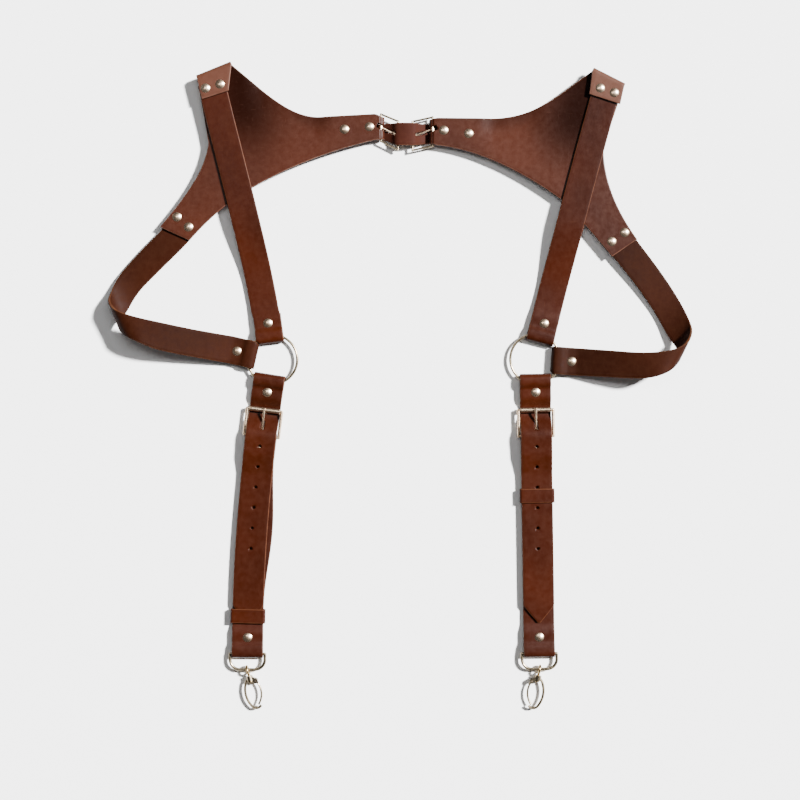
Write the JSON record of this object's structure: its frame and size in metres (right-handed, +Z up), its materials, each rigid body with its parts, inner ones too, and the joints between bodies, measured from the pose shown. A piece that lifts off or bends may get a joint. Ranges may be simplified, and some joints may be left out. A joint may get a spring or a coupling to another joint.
{
  "type": "leather shoulder breast harness",
  "caption": "Brown leather shoulder harness: shaped yoke panels with a buckled link, crossed straps on rings, and adjustable drops that end in snap hooks.",
  "frame": {"origin": "centre of the harness's outline on the table, as it lies flat with its outer face up", "axes": "+Z up out of the table, +Y towards the yoke, +X to the viewer's right"},
  "size_m": [0.5808, 0.6465, 0.0281],
  "materials": {
    "leather": "smooth waxed reddish-brown leather with a soft sheen and fine grain",
    "leather_under": "the same leather, a little darker where it lies under the billet",
    "nickel": "polished nickel plate with a warm tint",
    "hook_brass": "worn antique nickel over brass"
  },
  "bodies": {
    "link": {"link_strap": "leather", "link_frame_left": "nickel", "link_frame_right": "nickel"},
    "half_left": {"yoke_left": "leather", "yoke_rivets_left": "nickel", "tab_rivets_left": "nickel", "side_rivets_left": "nickel", "shoulder_strap_left": "leather", "side_strap_left": "leather", "strap_ring_rivets_left": "nickel"},
    "link_prong_left": {"link_prong_left": "nickel"},
    "ring_left": {"o_ring_left": "nickel"},
    "drop_left": {"billet_left": "leather", "billet_rivet_left": "nickel", "buckle_frame_left": "nickel", "lower_strap_left": "leather_under", "lower_rivets_left": "nickel"},
    "roller_left": {"buckle_roller_left": "nickel"},
    "prong_left": {"buckle_prong_left": "nickel"},
    "keeper_left": {"keeper_left": "leather"},
    "d_ring_left": {"d_ring_left": "nickel"},
    "swivel_left": {"hook_swivel_left": "hook_brass"},
    "hook_left": {"hook_body_left": "nickel", "hook_gate_pin_left": "nickel", "hook_spring_left": "nickel"},
    "gate_left": {"hook_gate_left": "nickel"},
    "half_right": {"yoke_right": "leather", "yoke_rivets_right": "nickel", "tab_rivets_right": "nickel", "side_rivets_right": "nickel", "shoulder_strap_right": "leather", "side_strap_right": "leather", "strap_ring_rivets_right": "nickel"},
    "link_prong_right": {"link_prong_right": "nickel"},
    "ring_right": {"o_ring_right": "nickel"},
    "drop_right": {"billet_right": "leather", "billet_rivet_right": "nickel", "buckle_frame_right": "nickel", "lower_strap_right": "leather_under", "lower_rivets_right": "nickel"},
    "roller_right": {"buckle_roller_right": "nickel"},
    "prong_right": {"buckle_prong_right": "nickel"},
    "keeper_right": {"keeper_right": "leather"},
    "d_ring_right": {"d_ring_right": "nickel"},
    "swivel_right": {"hook_swivel_right": "hook_brass"},
    "hook_right": {"hook_body_right": "nickel", "hook_gate_pin_right": "nickel", "hook_spring_right": "nickel"},
    "gate_right": {"hook_gate_right": "nickel"}
  },
  "joints": [
    {"name": "yoke_fold_left", "type": "hinge", "parent": "link", "child": "half_left", "pos_m": [-0.0191, 0.25825, 0.00642], "axis": [0, 1, 0], "range_deg": [0, 80]},
    {"name": "link_prong_lift_left", "type": "hinge", "parent": "link", "child": "link_prong_left", "pos_m": [-0.0191, 0.2592, 0.00642], "axis": [0, 1, 0], "range_deg": [0, 4]},
    {"name": "ring_turn_left", "type": "hinge", "parent": "half_left", "child": "ring_left", "pos_m": [-0.1276, 0.0272, 0.0048], "axis": [0, 0, 1], "range_deg": [-6, 22]},
    {"name": "drop_fold_left", "type": "hinge", "parent": "ring_left", "child": "drop_left", "pos_m": [-0.13111, 0.00548, 0.0048], "axis": [0.9862, -0.1656, 0], "range_deg": [-14, 8]},
    {"name": "roller_spin_left", "type": "hinge", "parent": "drop_left", "child": "roller_left", "pos_m": [-0.13554, -0.02324, 0.0052], "axis": [0.9922, -0.1243, 0], "continuous": true},
    {"name": "prong_lift_left", "type": "hinge", "parent": "drop_left", "child": "prong_left", "pos_m": [-0.13877, -0.04903, 0.0052], "axis": [0.9922, -0.1243, 0], "range_deg": [0, 4]},
    {"name": "keeper_slide_left", "type": "slide", "parent": "drop_left", "child": "keeper_left", "axis": [-0.0225, -0.9997, 0], "range_m": [-0.012, 0.002]},
    {"name": "d_ring_tilt_left", "type": "hinge", "parent": "drop_left", "child": "d_ring_left", "pos_m": [-0.1526, -0.2673, 0.0052], "axis": [1, 0, 0], "range_deg": [-70, 70]},
    {"name": "hook_swing_left", "type": "hinge", "parent": "d_ring_left", "child": "swivel_left", "pos_m": [-0.1526, -0.2828, 0.0052], "axis": [1, 0, 0], "range_deg": [-50, 50]},
    {"name": "hook_spin_left", "type": "hinge", "parent": "swivel_left", "child": "hook_left", "pos_m": [-0.15027, -0.29149, 0.0052], "axis": [0.2588, -0.9659, 0], "continuous": true},
    {"name": "gate_open_left", "type": "hinge", "parent": "hook_left", "child": "gate_left", "pos_m": [-0.14406, -0.29404, 0.0052], "axis": [0, 0, -1], "range_deg": [0, 10], "stiffness_Nm_per_rad": 0.01, "springref_deg": -5.73},
    {"name": "yoke_fold_right", "type": "hinge", "parent": "link", "child": "half_right", "pos_m": [0.0324, 0.25475, 0.00642], "axis": [0, -1, 0], "range_deg": [0, 80]},
    {"name": "link_prong_lift_right", "type": "hinge", "parent": "link", "child": "link_prong_right", "pos_m": [0.0324, 0.2572, 0.00642], "axis": [0, -1, 0], "range_deg": [0, 4]},
    {"name": "ring_turn_right", "type": "hinge", "parent": "half_right", "child": "ring_right", "pos_m": [0.1349, 0.0277, 0.0048], "axis": [0, 0, -1], "range_deg": [-3, 22]},
    {"name": "drop_fold_right", "type": "hinge", "parent": "ring_right", "child": "drop_right", "pos_m": [0.1352, 0.00571, 0.0048], "axis": [0.9999, 0.0132, 0], "range_deg": [-14, 8]},
    {"name": "roller_spin_right", "type": "hinge", "parent": "drop_right", "child": "roller_right", "pos_m": [0.13562, -0.02321, 0.0052], "axis": [0.9999, 0.0158, 0], "continuous": true},
    {"name": "prong_lift_right", "type": "hinge", "parent": "drop_right", "child": "prong_right", "pos_m": [0.13603, -0.04921, 0.0052], "axis": [0.9999, 0.0158, 0], "range_deg": [0, 4]},
    {"name": "keeper_slide_right", "type": "slide", "parent": "drop_right", "child": "keeper_right", "axis": [0.0161, -0.9999, 0], "range_m": [-0.006, 0.06]},
    {"name": "d_ring_tilt_right", "type": "hinge", "parent": "drop_right", "child": "d_ring_right", "pos_m": [0.1392, -0.2668, 0.0052], "axis": [0.9999, 0.0102, 0], "range_deg": [-70, 70]},
    {"name": "hook_swing_right", "type": "hinge", "parent": "d_ring_right", "child": "swivel_right", "pos_m": [0.13936, -0.2823, 0.0052], "axis": [0.9999, 0.0102, 0], "range_deg": [-50, 50]},
    {"name": "hook_spin_right", "type": "hinge", "parent": "swivel_right", "child": "hook_right", "pos_m": [0.13773, -0.29115, 0.0052], "axis": [-0.1808, -0.9835, 0], "continuous": true},
    {"name": "gate_open_right", "type": "hinge", "parent": "hook_right", "child": "gate_right", "pos_m": [0.13175, -0.29418, 0.0052], "axis": [0, 0, 1], "range_deg": [0, 10], "stiffness_Nm_per_rad": 0.01, "springref_deg": -5.73}
  ]
}
